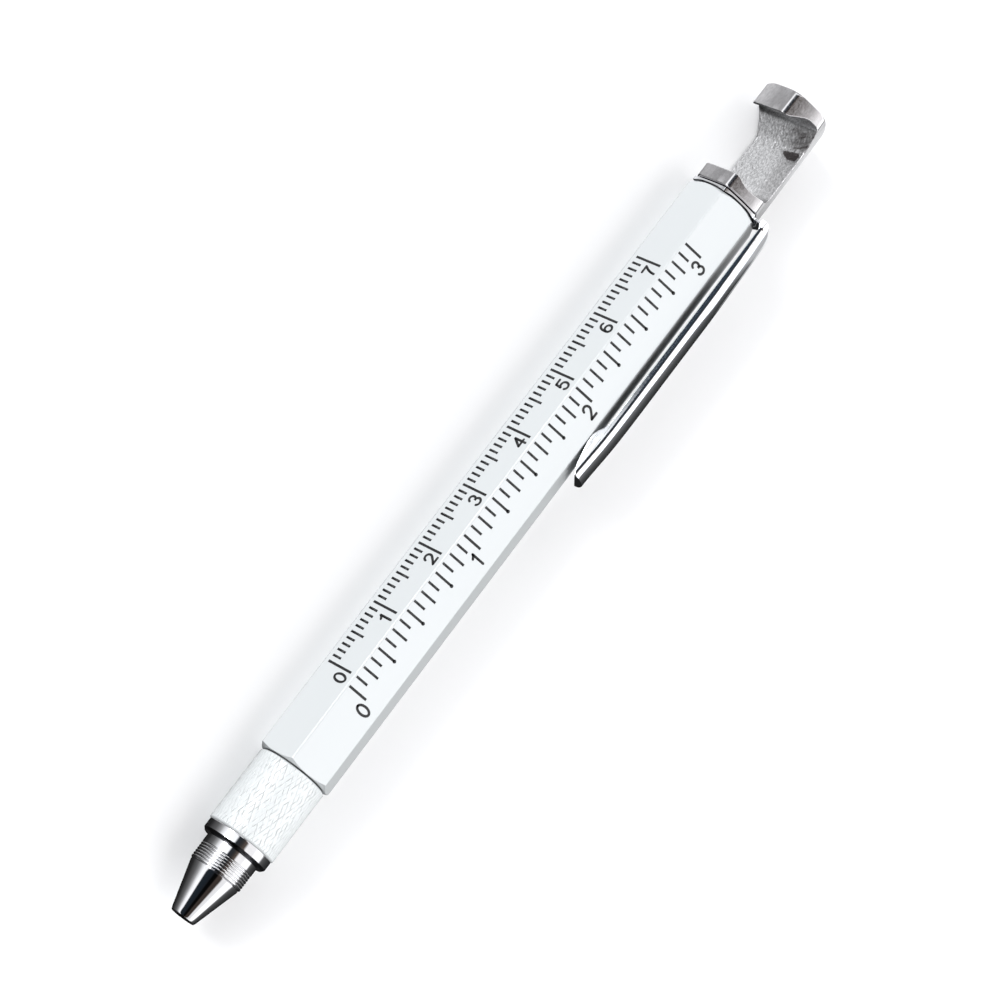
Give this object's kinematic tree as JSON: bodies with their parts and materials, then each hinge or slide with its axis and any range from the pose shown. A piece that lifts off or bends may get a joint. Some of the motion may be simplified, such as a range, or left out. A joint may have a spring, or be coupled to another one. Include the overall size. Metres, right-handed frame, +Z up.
{
  "type": "multi tool pen",
  "caption": "Hexagonal twist pen with printed centimetre and inch rulers, pocket clip, and a screwed bottle-opener head that holds a double-ended driver bit.",
  "frame": {"origin": "on the lower facet of the barrel, directly under the pen's axis at the middle of the barrel's length", "axes": "+X along the pen from the writing tip to the opener head, +Z up through the facet with the inch scale, +Y towards the side with the centimetre scale"},
  "size_m": [0.1402, 0.0137, 0.0109],
  "materials": {
    "white_lacquer": "gloss white lacquer on an aluminium tube",
    "white_grip": "white lacquer on knurled metal",
    "dark_chrome": "polished dark chrome",
    "bright_chrome": "polished chrome",
    "satin_nickel": "satin nickel, cast and polished",
    "brass": "turned brass",
    "spring_steel": "drawn wire",
    "refill_metal": "plain drawn tube",
    "tool_steel": "hardened, dark",
    "magnet_nickel": "nickel plated",
    "black_rubber": "matt",
    "black_polymer": "matt",
    "white_polymer": "natural acetal",
    "ink": "wet black ink"
  },
  "bodies": {
    "barrel": {"hex_barrel": "white_lacquer", "front_bush": "brass", "thrust_washer": "black_polymer", "guide_tube": "brass", "thrust_ring": "white_polymer", "mechanism_plug": "brass", "head_socket": "tool_steel", "clip_ring": "bright_chrome"},
    "grip": {"grip_ring": "white_grip", "grip_core": "brass", "core_oring": "black_rubber", "retaining_ring": "spring_steel", "drive_tube": "brass", "cam_sleeve": "white_polymer"},
    "nose": {"nose_cone": "dark_chrome"},
    "refill": {"carrier": "white_polymer", "follower_pin": "spring_steel", "refill_tube": "refill_metal", "refill_tip": "brass", "ink_column": "ink", "return_spring": "spring_steel"},
    "ball": {"writing_ball": "spring_steel"},
    "clip": {"clip": "bright_chrome"},
    "head": {"opener_head": "satin_nickel", "bit_holder": "tool_steel", "bit_magnet": "magnet_nickel"},
    "bit": {"screwdriver_bit": "tool_steel"}
  },
  "joints": [
    {"name": "grip_twist", "type": "hinge", "parent": "barrel", "child": "grip", "pos_m": [-0.045, 0, 0.00518], "axis": [1, 0, 0], "range_deg": [0, 180]},
    {"name": "refill_advance", "type": "slide", "parent": "barrel", "child": "refill", "axis": [-1, 0, 0], "range_m": [0, 0.005], "deforming": ["return_spring"]},
    {"name": "nose_unscrew", "type": "slide", "parent": "grip", "child": "nose", "axis": [-1, 0, 0], "range_m": [0, 0.022]},
    {"name": "ball_roll", "type": "hinge", "parent": "refill", "child": "ball", "pos_m": [-0.0708, 0, 0.00518], "axis": [0, 1, 0], "continuous": true},
    {"name": "clip_flex", "type": "hinge", "parent": "barrel", "child": "clip", "pos_m": [0.0497, -0.0052, 0.00818], "axis": [0, 0.5, 0.866], "range_deg": [0, 4], "stiffness_Nm_per_rad": 6},
    {"name": "head_unscrew", "type": "slide", "parent": "barrel", "child": "head", "axis": [1, 0, 0], "range_m": [0, 0.03]},
    {"name": "bit_pull", "type": "slide", "parent": "head", "child": "bit", "axis": [-1, 0, 0], "range_m": [0, 0.0106]}
  ],
  "couplings": [
    {"joint": "refill_advance", "follows": "grip_twist", "m_per_rad": 0.0015915}
  ]
}
